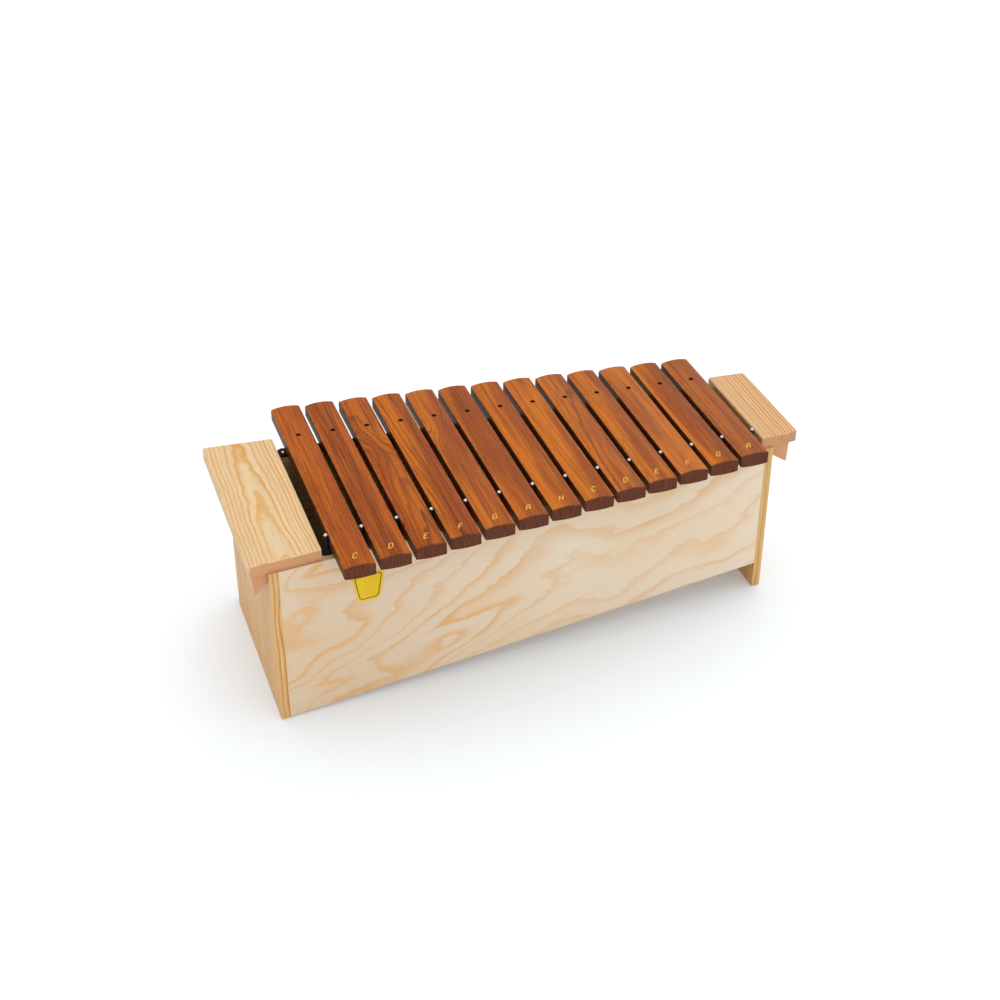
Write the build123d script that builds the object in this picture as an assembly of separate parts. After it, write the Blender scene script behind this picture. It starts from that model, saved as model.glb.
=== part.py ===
from build123d import *
import math
import os

# Alto xylophone with thirteen diatonic wooden bars on a tapered resonator box.
# Frame: millimetres, +X from the low notes to the high notes, +Y from the player's
# side to the far side, +Z up, floor at z = 0, origin under the middle of the outline.

# ---- driving dimensions -------------------------------------------------------------
NOTES = ("c4", "d4", "e4", "f4", "g4", "a4", "b4", "c5", "d5", "e5", "f5", "g5", "a5")
PITCH = 45.0            # bar to bar along X
BAR_X0 = -251.6         # centre line of the lowest bar
BAR_W = 38.4            # bar width, leaving a 6.6 mm gap for the guide pins
BAR_H = 15.8            # bar thickness at its long edges
BAR_CROWN = 2.8         # extra height of the rounded top at the centre line
BAR_BELLY = 1.4         # how far the rounded underside drops at the centre line
BAR_FRONT, BAR_FRONT_STEP = -188.4, 5.5     # near end of the lowest bar, change per bar
BAR_REAR, BAR_REAR_STEP = 187.4, -4.54      # far end of the lowest bar, change per bar
BAR_EDGE_R = 1.5        # softened long edges
BAR_END_C = 0.8         # softened end edges
BAR_HOLE_D = 6.9        # loose hole at the far node
ARCH_MARGIN = 22.0      # tuning arch stops this far inside each node
ARCH_DEEP, ARCH_SHALLOW = 8.4, 4.2          # arch depth of the lowest and highest bar

BOX_TOP = 224.8         # top of the box walls
NODE_FRONT, SLOPE_FRONT = -113.2, 0.0831    # near node line: Y at the lowest bar, slope
NODE_REAR, SLOPE_REAR = 111.0, -0.0651      # far node line: Y at the lowest bar, slope
LEFT_X, RIGHT_X = -350.1, 336.8             # outer faces of the end boards
BOARD_T = 11.8          # end board thickness
PANEL_T = 8.9           # front panel thickness
RAIL_W, RAIL_H = 18.0, 24.0                 # pin rail behind the front panel
WALL_T = 18.0           # back wall, which carries the far cushion on its top edge
WALL_INSET = 3.0        # back wall stops short of the end boards' outer faces
FLOOR_GAP = 1.0         # clearance under the low-note end of the walls
RISE = 40.2             # how much higher the walls end at the high-note end
BOTTOM_T = 6.0          # sloping bottom panel
BOTTOM_UP = 3.0         # bottom panel sits this far above the wall edges

CAP_T = 15.2            # end cap thickness
CAP_LEFT = (-373.3, -282.8)                 # outer and inner X of the low-note cap
CAP_RIGHT = (320.6, 373.2)                  # inner and outer X of the high-note cap
CAP_FRONT_SLOPE, CAP_REAR_SLOPE = 0.0786, -0.077
CAP_LEFT_Y = (-135.9, 135.4)                # cap edges at the low-note end board
CAP_RIGHT_Y = (-79.5, 87.7)                 # cap edges at the high-note end board
CAP_CORNER_R = 3.5
CAP_EDGE_R = 2.2

GRIP_LEFT = dict(top=-371.0, foot=-367.0, deep=31.2, shallow=14.5)  # wedge grip rails
GRIP_RIGHT = dict(top=362.4, foot=360.9, deep=30.4, shallow=14.0)
GRIP_SETBACK = 3.5      # grip rail stops this far behind the cap's near edge
GRIP_EDGE_R = 1.5

CUSHION_W, CUSHION_H = 18.0, 5.7            # soft strip under the bars, domed top
CUSHION_LAND = 4.0      # flat crest that carries the bars
CUSHION_END = 1.0       # gap between a cushion end and the cap
CUSHION_END_R = 5.0     # rounding of a cushion end

PIN_D = 3.4             # steel pin
PIN_HEAD_D, PIN_HEAD_H = 5.0, 2.2
PIN_TOP = 250.4         # top of the near guide pins
PIN_ROOT = 24.0         # depth of a pin below the box top
SLEEVE_D = 5.8          # soft sleeve on a near pin
REAR_PIN_TOP = 243.6    # far pins end inside the bar holes
REAR_SLEEVE_D = 4.8
REAR_SLEEVE_TOP = 241.0
SLIP = 0.05             # radial play of pins in their holes and sleeves

TACK_D, TACK_H = 5.6, 1.3                   # domed tacks at the far cushion's ends
TACK_SHANK_D, TACK_SHANK_L = 1.6, 12.0
TACK_IN = 8.0           # tack distance from the cushion end
TACK_OFF = -4.0         # tack offset from the crest towards the box
TACK_SUNK = 0.4         # tack head is pressed this far into the strip

LABEL_TOP_W, LABEL_FOOT_W, LABEL_H = 42.4, 28.6, 41.0   # label tapers downwards
LABEL_R, LABEL_T = 7.5, 0.4
LABEL_X, LABEL_Z = -228.2, 171.0

CREST = BOX_TOP + CUSHION_H                 # top of the cushions, under the bars
BAR_Z = CREST + BAR_BELLY                   # underside of the bars at their long edges
COUNT = len(NOTES)


# ---- layout helpers -----------------------------------------------------------------
def bar_x(i):
    return BAR_X0 + PITCH * i


def node_front(x):
    return NODE_FRONT + SLOPE_FRONT * (x - BAR_X0)


def node_rear(x):
    return NODE_REAR + SLOPE_REAR * (x - BAR_X0)


def wall_foot(x):
    """Height of the lower edge of the front panel and the back wall."""
    return FLOOR_GAP + RISE * (x - LEFT_X) / (RIGHT_X - LEFT_X)


def plan_prism(points, z0, z1):
    """Vertical prism over a plan outline."""
    face = make_face(Polyline(*points, close=True))
    return extrude(Pos(0, 0, z0) * face, amount=z1 - z0, dir=(0, 0, 1))


def side_prism(points, y0, y1):
    """Prism along Y over an outline given as (x, z) pairs."""
    face = make_face(Polyline(*[(x, y0, z) for x, z in points], close=True))
    return extrude(face, amount=y1 - y0, dir=(0, 1, 0))


def strip(x0, x1, line, near, far, z0, z1):
    """Straight strip between two offsets from a node line, cut square to X."""
    corners = [(x0, line(x0) + near), (x1, line(x1) + near),
               (x1, line(x1) + far), (x0, line(x0) + far)]
    return plan_prism(corners, z0, z1)


def below_walls():
    """Everything under the sloping lower edge of the walls."""
    ends = (LEFT_X - 50, RIGHT_X + 50)
    return side_prism([(ends[0], -60), (ends[1], -60), (ends[1], wall_foot(ends[1])),
                       (ends[0], wall_foot(ends[0]))], -300, 300)


def peg(x, y, z0, z1, d):
    return Pos(x, y, z0) * Cylinder(d / 2, z1 - z0, align=(Align.CENTER, Align.CENTER, Align.MIN))


def tube(x, y, z0, z1, outer, inner):
    return peg(x, y, z0, z1, outer) - peg(x, y, z0 - 1, z1 + 1, inner)


def dome(x, y, z, d, h):
    """Spherical cap of diameter d and height h standing on the plane z."""
    r = (d * d / 4 + h * h) / (2 * h)
    ball = Pos(x, y, z + h - r) * Sphere(r)
    keep = Pos(x, y, z) * Cylinder(d, h + 1, align=(Align.CENTER, Align.CENTER, Align.MIN))
    return ball & keep


# ---- bars ---------------------------------------------------------------------------
def make_bar(i):
    x, rear = bar_x(i), BAR_REAR + BAR_REAR_STEP * i
    front = BAR_FRONT + BAR_FRONT_STEP * i
    w, h = BAR_W / 2, BAR_H
    outline = ThreePointArc((-w, 0), (0, -BAR_BELLY), (w, 0)) + Line((w, 0), (w, h))
    outline += ThreePointArc((w, h), (0, h + BAR_CROWN), (-w, h)) + Line((-w, h), (-w, 0))
    place = Plane(origin=(x, rear, BAR_Z), x_dir=(1, 0, 0), z_dir=(0, -1, 0))
    bar = extrude(place * make_face(outline), amount=rear - front)
    bar = fillet(bar.edges().filter_by(Axis.Y), BAR_EDGE_R)
    ends = [f for f in bar.faces() if abs(f.normal_at().Y) > 0.99]
    bar = chamfer([e for f in ends for e in f.edges()], BAR_END_C)

    # tuning arch: a shallow cylinder of air across the underside, between the nodes
    lo, hi = node_front(x) + ARCH_MARGIN, node_rear(x) - ARCH_MARGIN
    depth = ARCH_DEEP + (ARCH_SHALLOW - ARCH_DEEP) * i / (COUNT - 1)
    half = (hi - lo) / 2
    radius = (half * half + depth * depth) / (2 * depth)
    air = Pos(x, (lo + hi) / 2, BAR_Z + depth - radius) * Rot(0, 90, 0)
    bar -= air * Cylinder(radius, BAR_W + 10)
    bar -= peg(x, node_rear(x), CREST - 1, BAR_Z + h + BAR_CROWN + 1, BAR_HOLE_D)
    return bar


# ---- pins, sleeves and tacks --------------------------------------------------------
def pin_spots():
    near = [bar_x(k - 0.5) for k in range(COUNT + 1)]
    far = [bar_x(k) for k in range(COUNT)]
    return [(x, node_front(x)) for x in near], [(x, node_rear(x)) for x in far]


NEAR_PINS, FAR_PINS = pin_spots()
CUSHION_ENDS = (CAP_LEFT[1] + CUSHION_END, CAP_RIGHT[0] - CUSHION_END)
TACK_SPOTS = [(x, node_rear(x) + TACK_OFF)
              for x in (CUSHION_ENDS[0] + TACK_IN, CUSHION_ENDS[1] - TACK_IN)]
TACK_Z = CREST - TACK_SUNK


def near_pin(x, y):
    neck = PIN_TOP - PIN_HEAD_H
    return peg(x, y, BOX_TOP - PIN_ROOT, neck, PIN_D) + dome(x, y, neck, PIN_HEAD_D, PIN_HEAD_H)


def far_pin(x, y):
    neck = REAR_PIN_TOP - 1.0
    return peg(x, y, BOX_TOP - PIN_ROOT, neck, PIN_D) + dome(x, y, neck, PIN_D, 1.0)


def tack(x, y):
    shank = peg(x, y, TACK_Z - TACK_SHANK_L, TACK_Z, TACK_SHANK_D)
    return shank + dome(x, y, TACK_Z, TACK_D, TACK_H)


def drill(solid, spots, d, z0, z1):
    for x, y in spots:
        solid -= peg(x, y, z0, z1, d)
    return solid


# ---- box ----------------------------------------------------------------------------
def make_end_board(x0, x1):
    corners = [(x, node_front(x) - RAIL_W / 2 - PANEL_T) for x in (x0, x1)]
    corners += [(x, node_rear(x) - WALL_T / 2) for x in (x1, x0)]
    board = plan_prism(corners, 0, BOX_TOP)
    return chamfer(board.faces().sort_by(Axis.Z)[0].edges(), 0.8)


def end_cutter(x, inward):
    """Everything outside a quarter round at the end x of a cushion."""
    r, top = CUSHION_END_R, CREST + 1
    block = side_prism([(x - inward, BOX_TOP - 1), (x + inward * r, BOX_TOP - 1),
                        (x + inward * r, top), (x - inward, top)], -200, 200)
    axis = Pos(x + inward * r, 0, CREST - r) * Rot(90, 0, 0)
    core = side_prism([(x, BOX_TOP - 2), (x + inward * (r + 1), BOX_TOP - 2),
                       (x + inward * (r + 1), CREST - r), (x, CREST - r)], -210, 210)
    return block - axis * Cylinder(r, 420) - core


def make_cushion(line, spots):
    w, land = CUSHION_W / 2, CUSHION_LAND / 2
    x0, x1 = CUSHION_ENDS
    y, z = line(x0), BOX_TOP
    # rounded shoulders either side of a narrow flat crest, level where they meet it
    fall = w - land
    r = (fall * fall + CUSHION_H * CUSHION_H) / (2 * CUSHION_H)
    side = land + 0.6 * fall
    rise = CUSHION_H - r + math.sqrt(r * r - (0.6 * fall) ** 2)
    outline = Line((x0, y - w, z), (x0, y + w, z))
    outline += ThreePointArc((x0, y + w, z), (x0, y + side, z + rise), (x0, y + land, CREST))
    outline += Line((x0, y + land, CREST), (x0, y - land, CREST))
    outline += ThreePointArc((x0, y - land, CREST), (x0, y - side, z + rise), (x0, y - w, z))
    way = Vector(x1 - x0, line(x1) - y, 0)
    body = extrude(make_face(outline), amount=way.length, dir=way.normalized())
    body -= end_cutter(x0, 1) + end_cutter(x1, -1)
    return drill(body, spots, PIN_D + 2 * SLIP, z - 1, CREST + 1)


def make_cap(x0, x1, board_x, edges):
    near = [(x, edges[0] + CAP_FRONT_SLOPE * (x - board_x)) for x in (x0, x1)]
    far = [(x, edges[1] + CAP_REAR_SLOPE * (x - board_x)) for x in (x1, x0)]
    cap = plan_prism(near + far, BOX_TOP, BOX_TOP + CAP_T)
    cap = fillet(cap.edges().filter_by(Axis.Z), CAP_CORNER_R)
    return fillet(cap.faces().sort_by(Axis.Z)[-1].edges(), CAP_EDGE_R)


def make_grip(board_x, spec, cap_edge, y_end):
    foot, top = spec["foot"], BOX_TOP
    section = [(board_x, top), (board_x, top - spec["shallow"]),
               (foot, top - spec["deep"]), (spec["top"], top)]
    grip = side_prism(section, cap_edge + GRIP_SETBACK, y_end)
    low = [e for e in grip.edges().filter_by(Axis.Y)
           if abs(e.center().X - foot) < 0.1 and e.center().Z < top - 1]
    return fillet(low, GRIP_EDGE_R)


def make_label():
    t = math.atan(SLOPE_FRONT)
    y = node_front(LABEL_X) - RAIL_W / 2 - PANEL_T
    place = Plane(origin=(LABEL_X, y, LABEL_Z), x_dir=(math.cos(t), math.sin(t), 0),
                  z_dir=(math.sin(t), -math.cos(t), 0))
    top, foot, h = LABEL_TOP_W / 2, LABEL_FOOT_W / 2, LABEL_H / 2
    outline = Polyline((-foot, -h), (foot, -h), (top, h), (-top, h), close=True)
    label = extrude(place * make_face(outline), amount=LABEL_T)
    corners = [e for e in label.edges() if abs(e.length - LABEL_T) < 0.01]
    return fillet(corners, LABEL_R)


def make_bottom(x0, x1):
    near, far = -RAIL_W / 2, -WALL_T / 2
    plan = plan_prism([(x0, node_front(x0) + near), (x1, node_front(x1) + near),
                       (x1, node_rear(x1) + far), (x0, node_rear(x0) + far)], 0, 90)
    lo, hi = BOTTOM_UP, BOTTOM_UP + BOTTOM_T
    slab = side_prism([(x0, wall_foot(x0) + lo), (x1, wall_foot(x1) + lo),
                       (x1, wall_foot(x1) + hi), (x0, wall_foot(x0) + hi)], -300, 300)
    return plan & slab


def build():
    inner0, inner1 = LEFT_X + BOARD_T, RIGHT_X - BOARD_T
    hole = PIN_D + 2 * SLIP
    root = BOX_TOP - PIN_ROOT
    parts = {"bar_" + note: make_bar(i) for i, note in enumerate(NOTES)}

    parts["end_board_left"] = make_end_board(LEFT_X, inner0)
    parts["end_board_right"] = make_end_board(inner1, RIGHT_X)
    panel = strip(inner0, inner1, node_front, -RAIL_W / 2 - PANEL_T, -RAIL_W / 2, 0, BOX_TOP)
    parts["front_panel"] = panel - below_walls()
    rail = strip(inner0, inner1, node_front, -RAIL_W / 2, RAIL_W / 2, BOX_TOP - RAIL_H, BOX_TOP)
    parts["front_rail"] = drill(rail, NEAR_PINS, hole, root, BOX_TOP + 1)
    wall = strip(LEFT_X + WALL_INSET, RIGHT_X - WALL_INSET, node_rear,
                 -WALL_T / 2, WALL_T / 2, 0, BOX_TOP) - below_walls()
    wall = drill(wall, FAR_PINS, hole, root, BOX_TOP + 1)
    tack_foot = TACK_Z - TACK_SHANK_L
    parts["back_wall"] = drill(wall, TACK_SPOTS, TACK_SHANK_D + 2 * SLIP, tack_foot, BOX_TOP + 1)
    parts["bottom_panel"] = make_bottom(inner0, inner1)

    parts["cap_left"] = make_cap(*CAP_LEFT, LEFT_X, CAP_LEFT_Y)
    parts["cap_right"] = make_cap(*CAP_RIGHT, RIGHT_X, CAP_RIGHT_Y)
    for side, board_x, spec, edge in (("left", LEFT_X, GRIP_LEFT, CAP_LEFT_Y[0]),
                                      ("right", RIGHT_X, GRIP_RIGHT, CAP_RIGHT_Y[0])):
        y_end = node_rear(board_x) - WALL_T / 2
        parts["grip_rail_" + side] = make_grip(board_x, spec, edge, y_end)

    parts["front_cushion"] = make_cushion(node_front, NEAR_PINS)
    rear_cushion = make_cushion(node_rear, FAR_PINS)
    rear_cushion = drill(rear_cushion, TACK_SPOTS, TACK_SHANK_D + 2 * SLIP, BOX_TOP - 1, CREST + 1)
    parts["rear_cushion"] = drill(rear_cushion, TACK_SPOTS, TACK_D + 2 * SLIP, TACK_Z, CREST + 1)

    neck = PIN_TOP - PIN_HEAD_H
    parts["front_pins"] = Compound(children=[near_pin(*s) for s in NEAR_PINS])
    parts["front_pin_sleeves"] = Compound(
        children=[tube(*s, CREST, neck, SLEEVE_D, hole) for s in NEAR_PINS])
    parts["rear_pins"] = Compound(children=[far_pin(*s) for s in FAR_PINS])
    parts["rear_pin_sleeves"] = Compound(
        children=[tube(*s, CREST, REAR_SLEEVE_TOP, REAR_SLEEVE_D, hole) for s in FAR_PINS])
    parts["cushion_tacks"] = Compound(children=[tack(*s) for s in TACK_SPOTS])
    parts["label_plate"] = make_label()
    return parts


os.makedirs("parts", exist_ok=True)
for name, shape in build().items():
    export_step(shape, f"parts/{name}.step")
    box = shape.bounding_box()
    print(name, [round(v, 2) for v in (*box.min, *box.max)], round(shape.volume, 1))
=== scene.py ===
import math

import bmesh
import bpy
from mathutils import Matrix, Vector


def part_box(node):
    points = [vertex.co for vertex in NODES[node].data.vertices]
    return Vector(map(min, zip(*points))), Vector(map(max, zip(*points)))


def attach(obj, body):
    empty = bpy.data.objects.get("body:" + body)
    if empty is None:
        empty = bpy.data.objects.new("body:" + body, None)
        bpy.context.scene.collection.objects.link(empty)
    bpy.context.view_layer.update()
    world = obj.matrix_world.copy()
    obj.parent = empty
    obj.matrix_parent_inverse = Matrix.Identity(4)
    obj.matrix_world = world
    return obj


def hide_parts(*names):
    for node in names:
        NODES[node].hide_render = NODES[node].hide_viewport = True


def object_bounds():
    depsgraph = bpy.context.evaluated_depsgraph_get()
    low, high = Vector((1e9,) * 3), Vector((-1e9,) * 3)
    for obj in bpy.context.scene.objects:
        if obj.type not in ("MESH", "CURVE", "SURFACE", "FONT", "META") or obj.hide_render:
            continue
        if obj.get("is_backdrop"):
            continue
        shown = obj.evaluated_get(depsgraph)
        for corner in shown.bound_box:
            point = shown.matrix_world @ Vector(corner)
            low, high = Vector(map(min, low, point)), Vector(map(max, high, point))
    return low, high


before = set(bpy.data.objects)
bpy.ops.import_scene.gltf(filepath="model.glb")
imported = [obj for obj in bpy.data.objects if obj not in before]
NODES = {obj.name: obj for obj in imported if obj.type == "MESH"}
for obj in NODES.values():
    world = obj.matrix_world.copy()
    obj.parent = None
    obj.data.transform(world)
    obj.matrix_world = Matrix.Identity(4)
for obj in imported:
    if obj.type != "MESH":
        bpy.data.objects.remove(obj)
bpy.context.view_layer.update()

NOTES = ("c4", "d4", "e4", "f4", "g4", "a4", "b4", "c5", "d5", "e5", "f5", "g5", "a5")
MM = 1000.0                                     # mm per metre
FRONT_SLOPE, REAR_SLOPE = 0.0831, -0.0651       # the cushions' lines under the bars, dy per dx
BAR_CROWN = 2.8                                 # rise of a bar's rounded top, mm


def box_mm(node):
    """A CAD node's lowest and highest corners at rest, in mm."""
    return [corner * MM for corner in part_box(node)]


# ---- small node-tree language ------------------------------------------------------------
def lin(r, g, b):
    """An 8-bit screen colour as linear RGBA."""
    def one(v):
        v /= 255.0
        return v / 12.92 if v <= 0.04045 else ((v + 0.055) / 1.055) ** 2.4
    return (one(r), one(g), one(b), 1.0)


def shade(colour, gain):
    """An 8-bit screen colour made lighter or darker, as linear RGBA."""
    return lin(*[min(255.0, c * gain) for c in colour])


class Tree:
    """Builds one material's nodes. Values may be numbers, tuples or sockets.

    pos is the shaded point in mm, also as x, y and z, and nx, ny and nz its normal. Both
    are the node's own, so the pattern stays on a piece that moves.
    """

    def __init__(self, name):
        self.mat = bpy.data.materials.new(name)
        self.mat.use_nodes = True
        self.t = self.mat.node_tree
        self.t.nodes.clear()
        out = self.t.nodes.new("ShaderNodeOutputMaterial")
        self.bsdf = self.t.nodes.new("ShaderNodeBsdfPrincipled")
        self.t.links.new(self.bsdf.outputs[0], out.inputs["Surface"])
        coords = self.t.nodes.new("ShaderNodeTexCoord")
        to_mm = self.t.nodes.new("ShaderNodeVectorMath")
        to_mm.operation = "SCALE"
        self.put(to_mm.inputs[0], coords.outputs["Object"])
        self.put(to_mm.inputs["Scale"], MM)
        self.pos = to_mm.outputs["Vector"]
        self.x, self.y, self.z = self.split(self.pos)
        self.nx, self.ny, self.nz = self.split(coords.outputs["Normal"])

    def put(self, socket, value):
        """Sets an input to a value, or links a socket to it."""
        if isinstance(value, bpy.types.NodeSocket):
            self.t.links.new(value, socket)
        elif isinstance(value, (tuple, list)) and len(value) == 3 and socket.type == "RGBA":
            socket.default_value = (*value, 1.0)
        else:
            socket.default_value = value

    def math(self, op, a, b=None):
        n = self.t.nodes.new("ShaderNodeMath")
        n.operation = op
        self.put(n.inputs[0], a)
        if b is not None:
            self.put(n.inputs[1], b)
        return n.outputs[0]

    def add(self, *values):
        total = values[0]
        for v in values[1:]:
            total = self.math("ADD", total, v)
        return total

    def sub(self, a, b):
        return self.math("SUBTRACT", a, b)

    def mul(self, a, b):
        return self.math("MULTIPLY", a, b)

    def size(self, a):
        return self.math("ABSOLUTE", a)

    def hypot(self, a, b):
        return self.math("SQRT", self.add(self.mul(a, a), self.mul(b, b)))

    def split(self, v):
        n = self.t.nodes.new("ShaderNodeSeparateXYZ")
        self.put(n.inputs[0], v)
        return n.outputs[0], n.outputs[1], n.outputs[2]

    def at(self, *terms):
        """A point to look a noise up at. Each term is a value, (socket, factor) or
        (socket, factor, shift)."""
        n = self.t.nodes.new("ShaderNodeCombineXYZ")
        for socket, term in zip(n.inputs, terms):
            if isinstance(term, tuple):
                value = self.mul(term[0], term[1])
                term = self.add(value, *term[2:])
            self.put(socket, term)
        return n.outputs[0]

    def noise(self, v, scale=1.0, detail=2.0, rough=0.5, distort=0.0):
        n = self.t.nodes.new("ShaderNodeTexNoise")
        n.noise_dimensions = "3D"
        self.put(n.inputs["Vector"], v)
        for key, value in (("Scale", scale), ("Detail", detail), ("Roughness", rough),
                           ("Lacunarity", 2.0), ("Distortion", distort)):
            self.put(n.inputs[key], value)
        return n.outputs[0]

    def swing(self, noise, reach):
        """A noise of 0 to 1 as a drift of up to half of reach either way."""
        return self.mul(self.sub(noise, 0.5), reach)

    def span(self, v, lo, hi, to_lo=0.0, to_hi=1.0, smooth=False):
        """Maps lo..hi to to_lo..to_hi, held constant outside."""
        n = self.t.nodes.new("ShaderNodeMapRange")
        n.clamp = True
        if smooth:
            n.interpolation_type = "SMOOTHSTEP"
        for s, value in zip(n.inputs, (v, lo, hi, to_lo, to_hi)):
            self.put(s, value)
        return n.outputs[0]

    def mix(self, fac, a, b):
        """Colour a, turning into b as fac goes from 0 to 1."""
        n = self.t.nodes.new("ShaderNodeMix")
        n.data_type = "RGBA"
        n.clamp_factor = True
        for k, value in ((0, fac), (6, a), (7, b)):      # 6 and 7 are the colour inputs
            self.put(n.inputs[k], value)
        return n.outputs[2]

    def year(self, rings, seed, lo, hi, scale=1.7):
        """One chance value from 0 to 1 for each growth ring."""
        chance = self.noise(self.at(self.math("FLOOR", rings), seed, 0.5), scale=scale, detail=0.0)
        return self.span(chance, lo, hi)

    def arris(self):
        """1 on softened edges and corners, which are painted paler: partly rubbed finish, partly a
        painted highlight of light catching the rounded edges.
        """
        x, y, z = (self.size(n) for n in (self.nx, self.ny, self.nz))
        flat = self.math("MAXIMUM", self.math("MAXIMUM", x, y), z)
        return self.span(flat, 0.90, 0.985, 1.0, 0.0)

    def bump(self, height, strength, distance):
        n = self.t.nodes.new("ShaderNodeBump")
        self.put(n.inputs["Strength"], strength)
        self.put(n.inputs["Distance"], distance)
        self.put(n.inputs["Height"], height)
        self.t.links.new(n.outputs[0], self.bsdf.inputs["Normal"])

    def finish(self, colour, rough, metallic=0.0, **sockets):
        self.put(self.bsdf.inputs["Base Color"], colour)
        self.put(self.bsdf.inputs["Roughness"], rough)
        self.put(self.bsdf.inputs["Metallic"], metallic)
        for key, value in sockets.items():
            self.put(self.bsdf.inputs[key.replace("_", " ")], value)
        return self.mat


def dress(node, material):
    """Gives a CAD node its finished material."""
    slots = NODES[node].data.materials
    if not slots:
        slots.append(material)
    for k in range(len(slots)):
        slots[k] = material


# ---- timber ------------------------------------------------------------------------------
NOISE_REACH = 4.0           # most of a noise lies within a quarter of 0.5: this makes it 1
WOOD_RELIEF = 0.0003        # depth of the grain's bump, m
PALE_GLOSS, OILED_GLOSS = 0.35, 0.08            # specular level of bare and of oiled wood

PINE_PALE, PINE_LATE = (217, 186, 140), (212, 146, 62)
PINE_END, PINE_END_PORE = (208, 150, 104), (140, 92, 56)
RESIN = (160, 108, 56)

PLY_PALE, PLY_WARM = (228, 210, 187), (225, 202, 168)
PLY_LOW_END_SHADE, PLY_FIGURE, PLY_FIBRE = (206, 176, 142), (220, 160, 84), (206, 160, 116)
PLY_EDGE, PLY_EDGE_CROSS, PLY_EDGE_SPECK = (216, 188, 150), (176, 130, 88), (150, 108, 70)
PLY_PITCH = 3.56            # thickness of two plies, mm

BAR_RED, BAR_BROWN, BAR_GOLD, BAR_DARK = (146, 64, 12), (178, 86, 8), (204, 112, 8), (86, 34, 10)
BAR_DUSK, BAR_SHEEN_HAZE, BAR_PORE = (112, 58, 32), (172, 116, 82), (52, 22, 10)
BAR_SHEEN, BAR_EDGE_WEAR_AND_HIGHLIGHT = (206, 116, 20), (206, 132, 66)
BAR_FLANK_SHADE, BAR_ENDS = ((84, 44, 24), (58, 30, 18)), ((108, 62, 42), (88, 48, 32))
BAR_END_LINE, BAR_END_PORE = (58, 28, 18), (48, 24, 16)


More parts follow.
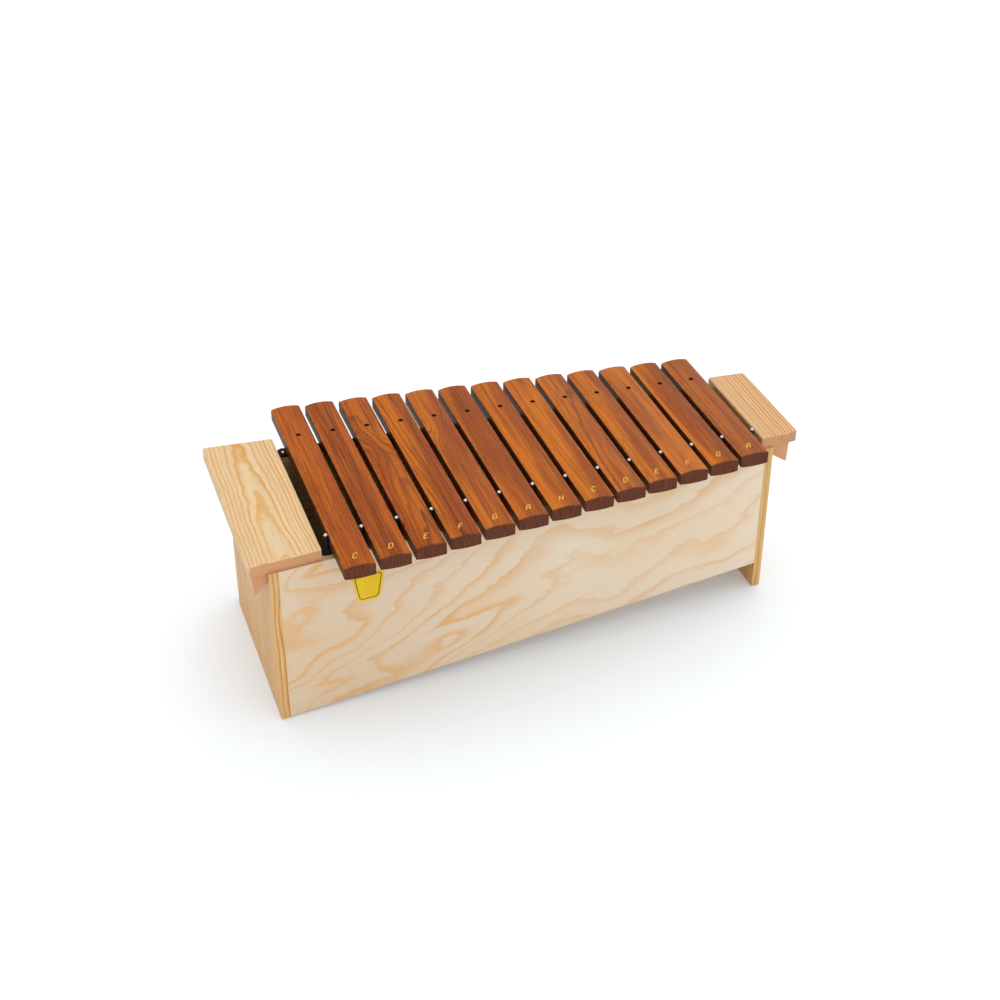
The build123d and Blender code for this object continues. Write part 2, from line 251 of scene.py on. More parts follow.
def pine(name, grain, pith, tilt=0.0, ring=5.0, wave=2.0, wobble=0.5, warp=1.0, seed=0.0,
         offset=0.0, pale=PINE_PALE, late=PINE_LATE, band=0.66, peak=0.90, strong=None,
         wiggle=0.0, end_depth=0.3, fade=0.35):
    """Solid softwood: growth rings round a pith line, cut by the board's own faces.

    grain is the axis letter that the fibres follow, and pith the ring centre in the two
    other axes. tilt is the pith's drift per mm of length in the second of those, wave and
    wobble its slow drift in mm in the first and the second, warp the rings' own unevenness
    and wiggle the size of their short waves in mm. ring is the ring width in mm and offset
    the part of a ring that they start at. pale and late are the early and late wood's
    colours, band and peak the parts of a ring where the late wood starts and is full.
    strong is the stretch of the first axis over which the ring lines grow from faint to
    full, end_depth how far they show on end grain, and fade how far they die down in calm
    parts of the board.
    """
    m = Tree(name)
    axes = {"x": (m.y, m.z, m.x, m.nx), "y": (m.x, m.z, m.y, m.ny), "z": (m.x, m.y, m.z, m.nz)}
    a, b, length, n_end = axes[grain]
    # growth rings round a pith that wanders along the trunk
    drift_a = m.noise(m.at((length, 0.009), seed, seed * 0.37), detail=1.5)
    drift_b = m.noise(m.at((length, 0.007), seed + 9.3, 4.1), detail=1.0)
    da = m.add(m.sub(a, pith[0]), m.swing(drift_a, wave * NOISE_REACH))
    db = m.add(m.sub(b, pith[1]), m.mul(length, tilt), m.swing(drift_b, wobble * NOISE_REACH))
    ripple = m.noise(m.at((a, 0.045), (b, 0.045, seed), (length, 0.016)), detail=3.0, rough=0.55)
    radius = m.add(m.hypot(da, db), m.swing(ripple, warp * NOISE_REACH))
    if wiggle > 0:
        short = m.noise(m.at((a, 0.035), seed + 2.6, (length, 0.042)), detail=1.5)
        radius = m.add(radius, m.swing(short, wiggle * NOISE_REACH))
    rings = m.add(m.math("DIVIDE", radius, ring), offset)
    phase = m.math("FRACT", rings)
    year = m.year(rings, seed, 0.25, 0.75)
    rise = m.span(phase, m.sub(band, m.mul(year, 0.24)), peak, smooth=True)
    fall = m.span(phase, 0.92, 1.0, 1.0, 0.0)
    late_wood = m.mul(m.mul(rise, fall), m.add(0.55, m.mul(year, 0.45)))
    # some parts of the board show the rings strongly, in others they nearly vanish
    calm = m.noise(m.at((a, 0.040), (b, 0.040, seed + 5.0), (length, 0.003)), detail=2.0)
    late_wood = m.mul(late_wood, m.span(calm, 0.36, 0.60, 1.0 - fade, 1.0, smooth=True))
    if strong is not None:
        late_wood = m.mul(late_wood, m.span(a, strong[0], strong[1], 0.35, 1.0))
    # fibres, streaks and the odd resin fleck
    fibre = m.noise(m.at((a, 1.1), (b, 1.1), (length, 0.03)), detail=4.0, rough=0.65)
    streak = m.noise(m.at((a, 0.16), (b, 0.16, seed), (length, 0.006)), detail=3.0)
    fleck = m.span(m.noise(m.at((a, 2.2), (b, 2.2), (length, 0.11)), detail=1.0), 0.66, 0.76)
    base = m.mix(m.span(streak, 0.3, 0.7), lin(*pale), shade(pale, 0.94))
    base = m.mix(late_wood, base, lin(*late))
    base = m.mix(m.mul(m.span(fibre, 0.35, 0.75), 0.30), base, shade(late, 0.84))
    base = m.mix(m.mul(fleck, 0.35), base, lin(*RESIN))
    # end grain: pinker, with the same rings and open pores
    end = m.span(m.size(n_end), 0.6, 0.8)
    pores = m.noise(m.at((a, 1.6), (b, 1.6), (length, 1.6)), detail=3.0)
    end_col = m.mix(m.mul(late_wood, end_depth), lin(*PINE_END), shade(PINE_END, 0.62))
    end_col = m.mix(m.mul(m.span(pores, 0.45, 0.7), 0.25), end_col, lin(*PINE_END_PORE))
    colour = m.mix(end, base, end_col)
    # edges painted pale here and there: partly rubbed finish, partly a painted highlight of light
    # catching the rounded edges
    lighter_patches = m.mul(m.arris(), m.span(m.noise(m.pos, scale=0.08, detail=2.0), 0.35, 0.6))
    colour = m.mix(m.mul(lighter_patches, 0.55), colour, shade(pale, 1.06))
    height = m.add(m.mul(fibre, 0.5), m.mul(late_wood, 0.35), m.mul(pores, 0.25))
    m.bump(height, 0.25, WOOD_RELIEF)
    rough = m.add(0.44, m.mul(fibre, 0.14), m.mul(late_wood, -0.08))
    return m.finish(colour, rough, Specular_IOR_Level=PALE_GLOSS)


def plywood(name, slope, face_y, seed):
    """Rotary-cut softwood ply: broad contour figure on the faces, plies on the cut edges.

    slope is the sheet's direction, dy per dx, and face_y its outer face at x = 0 in mm.
    """
    m = Tree(name)
    u, v = m.x, m.z
    low_end = m.span(u, -330.0, 60.0, 1.0, 0.0, smooth=True)
    # the figure is a contour map of a slow field that runs up to the right, swirls at the
    # low-note end and is torn into feathers along the fibres
    up = m.sub(v, m.mul(u, 0.10))
    big = m.noise(m.at((u, 0.0040), seed, (up, 0.0085)), detail=1.5, rough=0.40, distort=0.35)
    mid = m.noise(m.at((u, 0.013), seed + 3.0, (up, 0.030)), detail=2.0)
    torn = m.noise(m.at((u, 0.07), seed + 6.0, (v, 0.34)), detail=4.0, rough=0.6)
    field = m.add(m.mul(big, m.add(4.2, m.mul(low_end, 10.0))), m.mul(mid, 1.3), m.mul(up, 0.022),
                  m.mul(torn, 0.42))
    phase = m.math("FRACT", field)
    year = m.year(field, seed, 0.3, 0.7, scale=1.9)
    rise = m.span(phase, m.sub(0.70, m.mul(year, 0.40)), 0.93, smooth=True)
    fall = m.span(phase, 0.91, 1.0, 1.0, 0.0, smooth=True)
    patch = m.noise(m.at((u, 0.010), seed + 8.0, (v, 0.020)), detail=2.0)
    figure = m.mul(m.mul(rise, fall), m.add(0.50, m.mul(year, 0.5)))
    figure = m.mul(figure, m.span(patch, 0.30, 0.65, 0.45, 1.0))
    fibre = m.noise(m.at((u, 0.05), seed, (v, 1.2)), detail=4.0, rough=0.6)
    cloud = m.noise(m.at((u, 0.005), seed + 5.0, (v, 0.011)), detail=3.0)
    base = m.mix(m.span(cloud, 0.35, 0.65), lin(*PLY_PALE), lin(*PLY_WARM))
    # painted shade: the low-note end is darkened, standing for the light falling off there
    base = m.mix(m.mul(low_end, 0.45), base, lin(*PLY_LOW_END_SHADE))
    base = m.mix(m.mul(figure, m.add(0.62, m.mul(low_end, 0.50))), base, lin(*PLY_FIGURE))
    base = m.mix(m.mul(m.span(fibre, 0.35, 0.75), 0.15), base, lin(*PLY_FIBRE))
    # cut edges: plies, the cross plies darker
    depth = m.sub(m.y, m.add(face_y, m.mul(m.x, slope)))
    ply = m.math("FRACT", m.math("DIVIDE", depth, PLY_PITCH))
    cross = m.span(m.math("PINGPONG", ply, 0.5), 0.22, 0.28)
    speck = m.noise(m.at((u, 0.9), (m.y, 0.9), (v, 0.9)), detail=2.0)
    edge_col = m.mix(cross, lin(*PLY_EDGE), lin(*PLY_EDGE_CROSS))
    edge_col = m.mix(m.mul(m.span(speck, 0.4, 0.7), 0.25), edge_col, lin(*PLY_EDGE_SPECK))
    edge = m.span(m.size(m.ny), 0.5, 0.7, 1.0, 0.0)
    colour = m.mix(edge, base, edge_col)
    m.bump(m.add(m.mul(fibre, 0.6), m.mul(figure, 0.3)), 0.2, WOOD_RELIEF)
    return m.finish(colour, m.add(0.46, m.mul(fibre, 0.14)), Specular_IOR_Level=PALE_GLOSS)


def bar_wood(name, centre, seed, gold, dark_side, veins, sway, pith, ring, arches,
             dust_and_sheen=0.0, dusk=0.0, kink=None):
    """Oiled red-brown hardwood, fibres along Y, dark end grain, and sides and underside painted
    dark as shade.

    centre is the bar's middle in x. gold is how golden the sound wood is, dark_side how
    far the right half is redder and darker, veins the strength of the dark streaks and
    sway how far they wander in mm. pith (x from the middle, z), ring and arches (the
    pith's drift per mm of length) set the long growth-ring lines. dust_and_sheen is a
    paler, greyer haze: a painted sheen, standing for light reflected off the higher bars.
    dusk is a purple-brown band along the right half. kink is (y, shift): the
    grain steps sideways by shift mm near y, as it does round a knot.
    """
    m = Tree(name)
    a, b, length = m.sub(m.x, centre), m.z, m.y
    bend = m.swing(m.noise(m.at(seed, (length, 0.006), 0.3), detail=1.0), sway)
    a2 = m.add(a, bend)
    if kink is not None:
        y, shift = kink
        a2 = m.add(a2, m.span(length, y - 34.0, y + 34.0, 0.0, shift, smooth=True))
        whirl = m.span(m.size(m.sub(length, y)), 0.0, 46.0, 1.0, 0.0, smooth=True)
        a2 = m.add(a2, m.mul(m.mul(whirl, m.math("SINE", m.mul(a, 0.17))), 5.0))
    # growth-ring lines
    da = m.sub(a2, pith[0])
    db = m.add(m.sub(b, pith[1]), m.mul(length, arches))
    ripple = m.noise(m.at((a2, 0.09), seed, (length, 0.010)), detail=3.0)
    radius = m.add(m.hypot(da, db), m.swing(ripple, ring * 1.6))
    rings = m.math("DIVIDE", radius, ring)
    phase = m.math("FRACT", rings)
    year = m.year(rings, seed, 0.3, 0.7)
    line = m.mul(m.span(phase, 0.45, 0.92, smooth=True), m.span(phase, 0.93, 1.0, 1.0, 0.0))
    line = m.mul(line, m.add(0.25, m.mul(year, 0.75)))
    # wide tone bands, streaks, fibres and pores
    wide = m.noise(m.at((a2, 0.06), seed * 1.7, (length, 0.0035)), detail=2.0)
    streak = m.noise(m.at((a2, 0.27), (b, 0.2, seed), (length, 0.0050)), detail=4.0, rough=0.62)
    fibre = m.noise(m.at((a2, 1.5), (b, 1.2, seed), (length, 0.014)), detail=3.0, rough=0.6)
    pore = m.span(m.noise(m.at((a2, 2.2), (b, 2.0, seed), (length, 0.06)), detail=1.0), 0.60, 0.72)
    tone = m.span(m.add(wide, m.mul(a, -0.010 * dark_side)), 0.38, 0.62, smooth=True)
    base = m.mix(tone, lin(*BAR_RED), m.mix(gold, lin(*BAR_BROWN), lin(*BAR_GOLD)))
    base = m.mix(m.mul(line, veins), base, lin(*BAR_DARK))
    veined = m.mul(m.span(streak, 0.47, 0.64, smooth=True), 0.8 * veins)
    base = m.mix(veined, base, lin(*BAR_DARK))
    right = m.span(m.add(a, m.swing(wide, 30.0)), -2.0, 12.0, smooth=True)
    base = m.mix(m.mul(right, dusk), base, lin(*BAR_DUSK))
    # painted sheen: a paler, greyer haze on the higher bars, standing for light reflected off them
    base = m.mix(dust_and_sheen, base, lin(*BAR_SHEEN_HAZE))
    base = m.mix(m.mul(m.span(fibre, 0.42, 0.70), 0.28), base, lin(*BAR_DARK))
    base = m.mix(m.mul(m.span(fibre, 0.58, 0.36), 0.22), base, lin(*BAR_SHEEN))
    base = m.mix(m.mul(pore, 0.45), base, lin(*BAR_PORE))
    # edges painted pale here and there: partly rubbed finish, partly a painted highlight of light
    # catching the rounded edges
    lighter_patches = m.mul(m.arris(), m.span(m.noise(m.pos, scale=0.11, detail=2.0), 0.4, 0.62))
    base = m.mix(m.mul(lighter_patches, 0.5), base, lin(*BAR_EDGE_WEAR_AND_HIGHLIGHT))
    # painted shade: the sides and underside, facing away from the light, are darker than the top
    flank_shade = m.span(m.nz, 0.35, 0.75, 1.0, 0.0)
    flank_shade_col = m.mix(m.span(streak, 0.4, 0.65), *[lin(*c) for c in BAR_FLANK_SHADE])
    base = m.mix(m.mul(flank_shade, 0.92), base, flank_shade_col)
    # sawn ends: rays, ring lines and open pores
    end = m.span(m.size(m.ny), 0.55, 0.8)
    ray = m.noise(m.at((a, 0.42), (b, 0.07), seed), detail=3.0)
    dots = m.noise(m.at((a, 1.9), (b, 1.9), (length, 1.9)), detail=2.0)
    end_col = m.mix(m.span(ray, 0.35, 0.7), *[lin(*c) for c in BAR_ENDS])
    end_col = m.mix(m.mul(line, 0.5), end_col, lin(*BAR_END_LINE))
    end_col = m.mix(m.mul(m.span(dots, 0.5, 0.7), 0.45), end_col, lin(*BAR_END_PORE))
    colour = m.mix(end, base, end_col)
    m.bump(m.add(m.mul(fibre, 0.5), m.mul(pore, -0.8), m.mul(dots, 0.2)), 0.3, WOOD_RELIEF)
    rough = m.add(0.36, m.mul(fibre, 0.14), m.mul(end, 0.18))
    return m.finish(colour, rough, Specular_IOR_Level=OILED_GLOSS)


# gold, dark_side, veins, sway, pith, ring, arches, dust_and_sheen (a painted sheen), dusk and kink
# of each bar
BAR_LOOK = {
    "c4": (0.10, 0.2, 0.50, 4.0, (60.0, 215.0), 3.4, 0.02),
    "d4": (0.00, 0.3, 0.75, 6.0, (48.0, 222.0), 3.8, 0.05),
    "e4": (0.35, 0.2, 0.85, 8.0, (6.0, 232.0), 4.2, 0.05, 0.00, 0.15, (62.0, 15.0)),
    "f4": (0.60, 0.9, 0.80, 8.0, (-34.0, 224.0), 4.4, 0.06, 0.00, 0.20),
    "g4": (0.55, 0.4, 0.55, 12.0, (40.0, 214.0), 3.6, 0.05, 0.08, 0.00, (74.0, -8.0)),
    "a4": (0.45, 0.8, 0.55, 5.0, (-44.0, 220.0), 3.6, 0.03, 0.06, 0.25),
    "b4": (0.80, 0.6, 0.40, 6.0, (30.0, 226.0), 4.0, 0.06, 0.06, 0.15),
    "c5": (0.95, 0.4, 0.36, 5.0, (-50.0, 218.0), 4.2, 0.04, 0.08, 0.00),
    "d5": (0.55, 0.7, 0.80, 9.0, (10.0, 230.0), 4.4, 0.06, 0.14, 0.35),
    "e5": (1.00, 0.6, 0.42, 6.0, (-30.0, 222.0), 4.6, 0.05, 0.12, 0.25),
    "f5": (0.80, 0.1, 0.30, 4.0, (56.0, 216.0), 3.6, 0.02, 0.22, 0.00),
    "g5": (1.00, 1.2, 0.36, 5.0, (-46.0, 224.0), 4.4, 0.04, 0.10, 0.80),
    "a5": (0.15, 0.0, 0.85, 4.0, (70.0, 214.0), 3.4, 0.02, 0.22, 0.20),
}
FIRST_SEED, SEED_STEP = 3.7, 11.3
BAR_CENTRE = {}             # each bar's middle in x, mm
for k, note in enumerate(NOTES):
    lo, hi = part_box("bar_" + note)
    BAR_CENTRE[note] = (lo.x + hi.x) / 2 * MM
    dress("bar_" + note, bar_wood("bar_wood_" + note, BAR_CENTRE[note],
                                  FIRST_SEED + SEED_STEP * k, *BAR_LOOK[note]))

dress("cap_left", pine("cap_pine_left", "y", pith=(-330.0, 212.0), tilt=0.030, ring=3.9,
                       wave=1.8, wobble=0.35, warp=0.8, seed=2.0, offset=0.62,
                       pale=(221, 193, 150), late=(205, 141, 38), band=0.56, peak=0.84,
                       wiggle=0.75, end_depth=0.15))
dress("cap_right", pine("cap_pine_right", "y", pith=(280.0, 325.0), tilt=0.01, ring=3.3,
                        wave=0.9, wobble=0.3, warp=0.4, seed=7.0,
                        pale=(219, 177, 124), late=(178, 92, 14), band=0.56, peak=0.80,
                        strong=(335.0, 350.0), end_depth=0.9, fade=0.0))
dress("grip_rail_left", pine("grip_pine_left", "y", pith=(-330.0, 150.0), seed=12.0))
dress("grip_rail_right", pine("grip_pine_right", "y", pith=(300.0, 150.0), seed=15.0))

BOARD = dict(pale=(225, 182, 115), late=(166, 84, 22), band=0.58, peak=0.82, fade=0.60)
dress("end_board_left", pine("board_pine_left", "z", pith=(-470.0, -230.0), ring=5.4, wave=2.6,
                             wobble=1.4, warp=1.7, seed=21.0, offset=0.42, **BOARD))
dress("end_board_right", pine("board_pine_right", "z", pith=(440.0, -230.0), wave=2.4,
                              wobble=1.2, warp=1.4, seed=27.0, offset=0.2, **BOARD))
dress("front_rail", pine("rail_pine", "x", pith=(-40.0, 150.0), seed=31.0))
dress("back_wall", pine("wall_pine", "x", pith=(190.0, 90.0), tilt=0.02, ring=6.0, wave=3.0,
                        seed=35.0))

lo, hi = box_mm("front_panel")
PANEL_FACE = lo.y - FRONT_SLOPE * lo.x          # the panel's outer face at x = 0
dress("front_panel", plywood("panel_ply", FRONT_SLOPE, PANEL_FACE, seed=1.0))
dress("bottom_panel", plywood("bottom_ply", FRONT_SLOPE, PANEL_FACE, seed=14.0))


# ---- rubber, metal and the label ---------------------------------------------------------
def rubber(name, tone, rough):
    """Matt black rubber or foam, a little dusty."""
    m = Tree(name)
    grain = m.noise(m.pos, scale=1.4, detail=3.0)
    dust_and_sheen = m.noise(m.pos, scale=0.05, detail=3.0)
    colour = m.mix(m.span(dust_and_sheen, 0.45, 0.75), lin(*tone), lin(*[c + 10 for c in tone]))
    m.bump(grain, 0.35, 0.0004)
    return m.finish(colour, m.add(rough, m.mul(grain, 0.15)), Specular_IOR_Level=0.25)


def metal(name, tone, rough):
    """Bright metal with fine scratches and a little tarnish."""
    m = Tree(name)
    fine = m.noise(m.pos, scale=3.0, detail=2.0)
    tarnish = m.span(m.noise(m.pos, scale=0.5, detail=2.0), 0.45, 0.7)
    colour = m.mix(m.mul(tarnish, 0.35), lin(*tone), lin(*[int(c * 0.75) for c in tone]))
    m.bump(fine, 0.12, 0.0002)
    return m.finish(colour, m.add(rough, m.mul(fine, 0.12)), metallic=1.0)


for node in ("front_pin_sleeves", "rear_pin_sleeves"):
    dress(node, rubber(node + "_rubber", (24, 21, 21), 0.42))
for node in ("front_pins", "rear_pins"):
    dress(node, metal(node + "_steel", (205, 207, 214), 0.18))
dress("cushion_tacks", metal("tack_copper", (222, 176, 156), 0.34))

LABEL_HALF_W = 17.75        # half the label's width at mid height, mm
LABEL_FLARE = 0.168         # how fast that grows upwards, mm per mm
LABEL_CORNER = 7.5          # corner radius, mm
BORDER_INSET = 3.2          # the border line's distance from the label's edge, mm


def label_print(name, node):
    """Plain yellow label, narrower below, with one thin border line inside its edge."""
    m = Tree(name)
    lo, hi = box_mm(node)
    cx, cz = (lo.x + hi.x) / 2, (lo.z + hi.z) / 2
    half_w = m.add(LABEL_HALF_W, m.mul(m.sub(m.z, cz), LABEL_FLARE))
    half_h = (hi.z - lo.z) / 2
    # distance outside the outline, as for a rectangle with round corners
    du = m.sub(m.size(m.sub(m.x, cx)), m.sub(half_w, LABEL_CORNER))
    dv = m.sub(m.size(m.sub(m.z, cz)), half_h - LABEL_CORNER)
    outside = m.hypot(m.math("MAXIMUM", du, 0.0), m.math("MAXIMUM", dv, 0.0))
    inside = m.math("MINIMUM", m.math("MAXIMUM", du, dv), 0.0)
    distance = m.sub(m.add(outside, inside), LABEL_CORNER)
    line = m.span(m.size(m.add(distance, BORDER_INSET)), 0.45, 0.85, 1.0, 0.0)
    fade = m.noise(m.pos, scale=0.06, detail=3.0)
    yellow = m.mix(m.span(fade, 0.3, 0.7), lin(232, 192, 0), lin(222, 178, 0))
    colour = m.mix(m.mul(line, 0.9), yellow, lin(62, 44, 8))
    m.bump(m.noise(m.pos, scale=0.9, detail=2.0), 0.05, 0.0002)
    return m.finish(colour, 0.42, Specular_IOR_Level=0.3)


dress("label_plate", label_print("label_print", "label_plate"))


# ---- cushions ----------------------------------------------------------------------------
CUSHION_HALF, CUSHION_LAND = 9.0, 2.0       # half the strip's width, half its crest, mm
BULGE = 0.7                                 # how far the strip swells between the bars, mm
BULGE_REACH = 0.14                          # half a swelling's length, in bar spacings
BULGE_MARGIN = 4.0                          # the last swellings lie this far past the bars, mm
UNEVEN = 0.12                               # the strip's own unevenness, mm
END_ROUND = 8.0                             # length of the rounded end, mm
END_LEAST = 0.16                            # the end's height, as a part of the full height
END_NARROW = 0.45                           # the end's width, as a part of the full width
STATION = 2.5                               # mm between cross sections
ROUND_POINTS = 9                            # points on each shoulder of a cross section


def cushion_section(half, land, height):
    """Half-width dy and height dz of the points round a domed strip, left to right."""
    left = [(-half, 0.0)]
    for j in range(1, ROUND_POINTS + 1):
        turn = 0.5 * math.pi * j / ROUND_POINTS
        left.append((-land - (half - land) * math.cos(turn), height * math.sin(turn)))
    return left + [(-dy, dz) for dy, dz in reversed(left)]


def cushion_piece(node, slope, near_corner):
    """Soft black strip: domed, round-ended, pressed down where the bars lie on it."""
    lo, hi = box_mm(node)
    y_start = lo.y + CUSHION_HALF if near_corner else hi.y - CUSHION_HALF
    bars = [BAR_CENTRE[n] for n in NOTES]
    pitch = bars[1] - bars[0]
    reach = pitch / 2 + BULGE_MARGIN
    count = int((hi.x - lo.x) / STATION)
    bm = bmesh.new()
    rings = []
    for k in range(count + 1):
        x = lo.x + (hi.x - lo.x) * k / count
        to_end = min(x - lo.x, hi.x - x)
        t = min(1.0, max(0.0, to_end / END_ROUND))
        swell = max(END_LEAST, math.sqrt(1.0 - (1.0 - t) ** 2))
        gap = abs(((x - bars[0]) / pitch) % 1.0 - 0.5)      # 0 midway between two bars
        lift = 0.0
        if bars[0] - reach < x < bars[-1] + reach:
            lift = BULGE * max(0.0, 1.0 - gap / BULGE_REACH) ** 2
        lift += UNEVEN * math.sin(0.21 * x) * math.sin(0.047 * x + 1.3)
        half = CUSHION_HALF * (END_NARROW + (1.0 - END_NARROW) * swell)
        height = (hi.z - lo.z + min(lift, BULGE)) * swell
        y = y_start + slope * (x - lo.x)
        rings.append([bm.verts.new((x / MM, (y + dy) / MM, (lo.z + dz) / MM))
                      for dy, dz in cushion_section(half, CUSHION_LAND * swell, height)])
    size = len(rings[0])
    for near, far in zip(rings, rings[1:]):
        for j in range(size):
            bm.faces.new((near[j], near[(j + 1) % size], far[(j + 1) % size], far[j]))
    bm.faces.new(rings[0][::-1])
    bm.faces.new(rings[-1])
    bmesh.ops.recalc_face_normals(bm, faces=bm.faces)
    mesh = bpy.data.meshes.new(node + "_strip")
    bm.to_mesh(mesh)
    bm.free()
    for face in mesh.polygons:
        face.use_smooth = True
    mesh.materials.append(rubber(node + "_foam", (14, 12, 12), 0.62))
    piece = bpy.data.objects.new(node + "_strip", mesh)
    bpy.context.scene.collection.objects.link(piece)
    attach(piece, "resonator_box")
    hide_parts(node)


cushion_piece("front_cushion", FRONT_SLOPE, True)
cushion_piece("rear_cushion", REAR_SLOPE, False)


# ---- painted note names ------------------------------------------------------------------
# Plain strokes on a unit cell: each glyph is a list of polylines.
BOWL = [(1, 0.80), (0.80, 1), (0.20, 1), (0, 0.80), (0, 0.20), (0.20, 0), (0.80, 0), (1, 0.20)]
GLYPHS = {
    "C": [BOWL],
    "D": [[(0, 0), (0, 1), (0.72, 1), (1, 0.78), (1, 0.22), (0.72, 0), (0, 0)]],
    "E": [[(1, 1), (0, 1), (0, 0), (1, 0)], [(0, 0.52), (0.80, 0.52)]],
    "F": [[(1, 1), (0, 1), (0, 0)], [(0, 0.52), (0.80, 0.52)]],
    "G": [BOWL + [(1, 0.48), (0.55, 0.48)]],
    "A": [[(0, 0), (0, 0.78), (0.22, 1), (0.78, 1), (1, 0.78), (1, 0)], [(0, 0.42), (1, 0.42)]],
    "H": [[(0, 0), (0, 1)], [(1, 0), (1, 1)], [(0, 0.5), (1, 0.5)]],
}
LETTERS = "CDEFGAHCDEFGA"
LETTER_W, LETTER_H, STROKE, LEAN = 4.6, 9.2, 1.5, 0.37      # mm, lean is dx per dy
LETTER_SHIFT = -0.8         # mm from the bar's centre line
LETTER_FROM_END = 14.6      # mm from the bar's near end to the letter's foot
PAINT, PAINT_SINK = 0.05, 0.05      # how far the paint stands proud and reaches in, mm
STEP = 0.8                  # mm between points along a stroke


def resample(points):
    """A polyline's points, with more between them where they are over a step apart."""
    out = [points[0]]
    for p, q in zip(points, points[1:]):
        n = max(1, int(math.ceil((q - p).length / STEP)))
        out += [p.lerp(q, (k + 1) / n) for k in range(n)]
    return out


def crown_height(node):
    """Returns z(dx) of the bar's rounded top in mm, from its box and its crown's rise."""
    lo, hi = box_mm(node)
    half = (hi.x - lo.x) / 2
    radius = (half * half + BAR_CROWN * BAR_CROWN) / (2 * BAR_CROWN)
    return lambda dx: hi.z - radius + math.sqrt(radius * radius - dx * dx)


def paint_letter(note, letter, paint):
    """Lays the note's name on its bar as thin closed strokes that follow the crown."""
    node = "bar_" + note
    lo, hi = box_mm(node)
    cx, foot = (lo.x + hi.x) / 2, lo.y + LETTER_FROM_END
    top = crown_height(node)
    verts, faces = [], []
    for line in GLYPHS[letter]:
        pts = resample([Vector(((u - 0.5) * LETTER_W, v * LETTER_H)) for u, v in line])
        closed = line[0] == line[-1]
        if closed:
            pts.pop()
        n, base = len(pts), len(verts)
        for k, p in enumerate(pts):
            before = pts[k - 1] if k > 0 or closed else p
            after = pts[(k + 1) % n] if k < n - 1 or closed else p
            along = (after - before).normalized()
            side = Vector((-along.y, along.x)) * STROKE / 2
            for q in (p + side, p - side):
                dx = q.x + LETTER_SHIFT + LEAN * (q.y - LETTER_H / 2)
                for lift in (-PAINT_SINK, PAINT):
                    verts.append(((cx + dx) / MM, (foot + q.y) / MM, (top(dx) + lift) / MM))
        for k in range(n if closed else n - 1):
            a, b = base + 4 * k, base + 4 * ((k + 1) % n)
            faces += [(a + 1, a + 3, b + 3, b + 1), (a, b, b + 2, a + 2),
                      (a, a + 1, b + 1, b), (a + 2, b + 2, b + 3, a + 3)]
        if not closed:
            a, b = base, base + 4 * (n - 1)
            faces += [(a, a + 2, a + 3, a + 1), (b, b + 1, b + 3, b + 2)]
    mesh = bpy.data.meshes.new("note_name_" + note)
    mesh.from_pydata(verts, [], faces)
    mesh.update()
    mesh.materials.append(paint)
    piece = bpy.data.objects.new("note_name_" + note, mesh)
    bpy.context.scene.collection.objects.link(piece)
    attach(piece, "tone_" + note)


def paint_material():
    """Yellow paint, thinner in places."""
    m = Tree("note_paint")
    lighter_patches = m.noise(m.pos, scale=1.1, detail=3.0)
    colour = m.mix(m.span(lighter_patches, 0.35, 0.7), lin(200, 146, 0), lin(224, 172, 0))
    return m.finish(colour, 0.5)


NOTE_PAINT = paint_material()
for note, letter in zip(NOTES, LETTERS):
    paint_letter(note, letter, NOTE_PAINT)


# ---- floor, light and camera -------------------------------------------------------------
FLOOR_HALF = 60.0                               # m, far enough that no view shows its edge
PAPER = ((0.775, 0.82, 0.86), (0.785, 0.83, 0.87))
PAPER_GLOW, PAPER_GLOW_COLOUR = 0.135, (0.97, 1.0, 1.0, 1.0)
SKY, SKY_STRENGTH = (1.0, 1.0, 1.0, 1.0), 0.88
SUN_STRENGTH, SUN_WIDTH = 1.10, 75.0            # the width is in degrees
SUN_DIRECTION = (-0.20, -0.34, -1.0)
FILL_PLACE, FILL_AIM = (0.6, -2.6, 1.3), (0.0, 0.0, 0.1)
FILL_SIZE, FILL_POWER = (2.4, 1.6), 7.0
CAMERA_PLACE = (-0.6286, -1.7525, 1.4316)
CAMERA_TURN = (-19.98, 33.94, 0.48)             # azimuth, elevation and roll in degrees
CAMERA_LENS, CAMERA_SENSOR = 61.79, 36.0        # mm
CAMERA_SHIFT = (-0.0164, -0.0095)
CAMERA_CLIP = (0.05, 60.0)                      # m


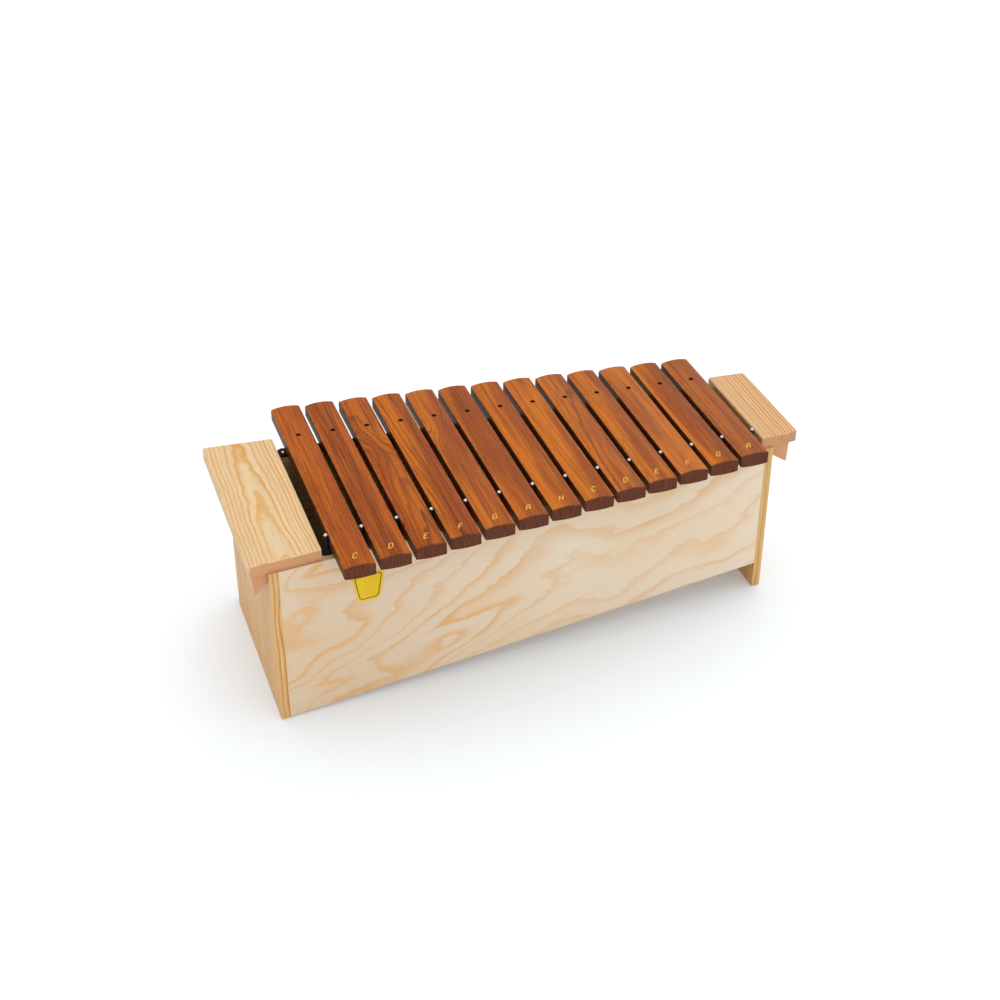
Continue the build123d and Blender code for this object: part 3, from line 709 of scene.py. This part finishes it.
def make_floor():
    """A sheet of pale paper, translucent and lit a little from below."""
    h = FLOOR_HALF
    mesh = bpy.data.meshes.new("floor")
    mesh.from_pydata([(-h, -h, 0), (h, -h, 0), (h, h, 0), (-h, h, 0)], [], [(0, 1, 2, 3)])
    floor = bpy.data.objects.new("floor", mesh)
    bpy.context.scene.collection.objects.link(floor)
    m = Tree("floor_paper")
    paper = m.mix(m.noise(m.pos, scale=0.02, detail=3.0), *PAPER)
    mesh.materials.append(m.finish(paper, 0.9, Emission_Color=PAPER_GLOW_COLOUR,
                                   Emission_Strength=PAPER_GLOW))
    floor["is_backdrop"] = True


def make_lamp(name, kind, direction):
    """A lamp that shines along direction. Returns the object and its light."""
    light = bpy.data.lights.new(name, kind)
    lamp = bpy.data.objects.new(name, light)
    lamp.rotation_mode = "QUATERNION"
    lamp.rotation_quaternion = Vector(direction).to_track_quat("-Z", "Y")
    bpy.context.scene.collection.objects.link(lamp)
    return lamp, light


def make_lights():
    """A bright white room: even sky, a very wide sun overhead and a weak fill in front."""
    world = bpy.data.worlds.new("studio")
    bpy.context.scene.world = world
    world.use_nodes = True
    sky = world.node_tree.nodes["Background"]
    sky.inputs["Color"].default_value = SKY
    sky.inputs["Strength"].default_value = SKY_STRENGTH

    sun = make_lamp("wide_overhead", "SUN", SUN_DIRECTION)[1]
    sun.energy = SUN_STRENGTH
    sun.angle = math.radians(SUN_WIDTH)

    lamp, fill = make_lamp("front_fill", "AREA", Vector(FILL_AIM) - Vector(FILL_PLACE))
    lamp.location = FILL_PLACE
    fill.shape = "RECTANGLE"
    fill.size, fill.size_y = FILL_SIZE
    fill.energy = FILL_POWER


def make_camera():
    """Long-lens view from the player's left, above the instrument."""
    azimuth, elevation, roll = (math.radians(v) for v in CAMERA_TURN)
    back = Vector((math.sin(azimuth) * math.cos(elevation),
                   -math.cos(azimuth) * math.cos(elevation), math.sin(elevation)))
    right = Vector((math.cos(azimuth), math.sin(azimuth), 0.0))
    up = back.cross(right)
    cx = right * math.cos(roll) + up * math.sin(roll)
    cy = up * math.cos(roll) - right * math.sin(roll)
    data = bpy.data.cameras.new("camera")
    data.sensor_fit = "HORIZONTAL"
    data.sensor_width = CAMERA_SENSOR
    data.lens = CAMERA_LENS
    data.shift_x, data.shift_y = CAMERA_SHIFT
    data.clip_start, data.clip_end = CAMERA_CLIP
    data.dof.use_dof = False
    cam = bpy.data.objects.new("camera", data)
    bpy.context.scene.collection.objects.link(cam)
    turn = Matrix((cx, cy, back)).transposed()
    cam.matrix_world = Matrix.Translation(CAMERA_PLACE) @ turn.to_4x4()
    bpy.context.scene.camera = cam


make_floor()
make_lights()
make_camera()
bpy.context.scene.view_settings.view_transform = "Standard"
bpy.context.scene.view_settings.look = "None"

lo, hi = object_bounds()
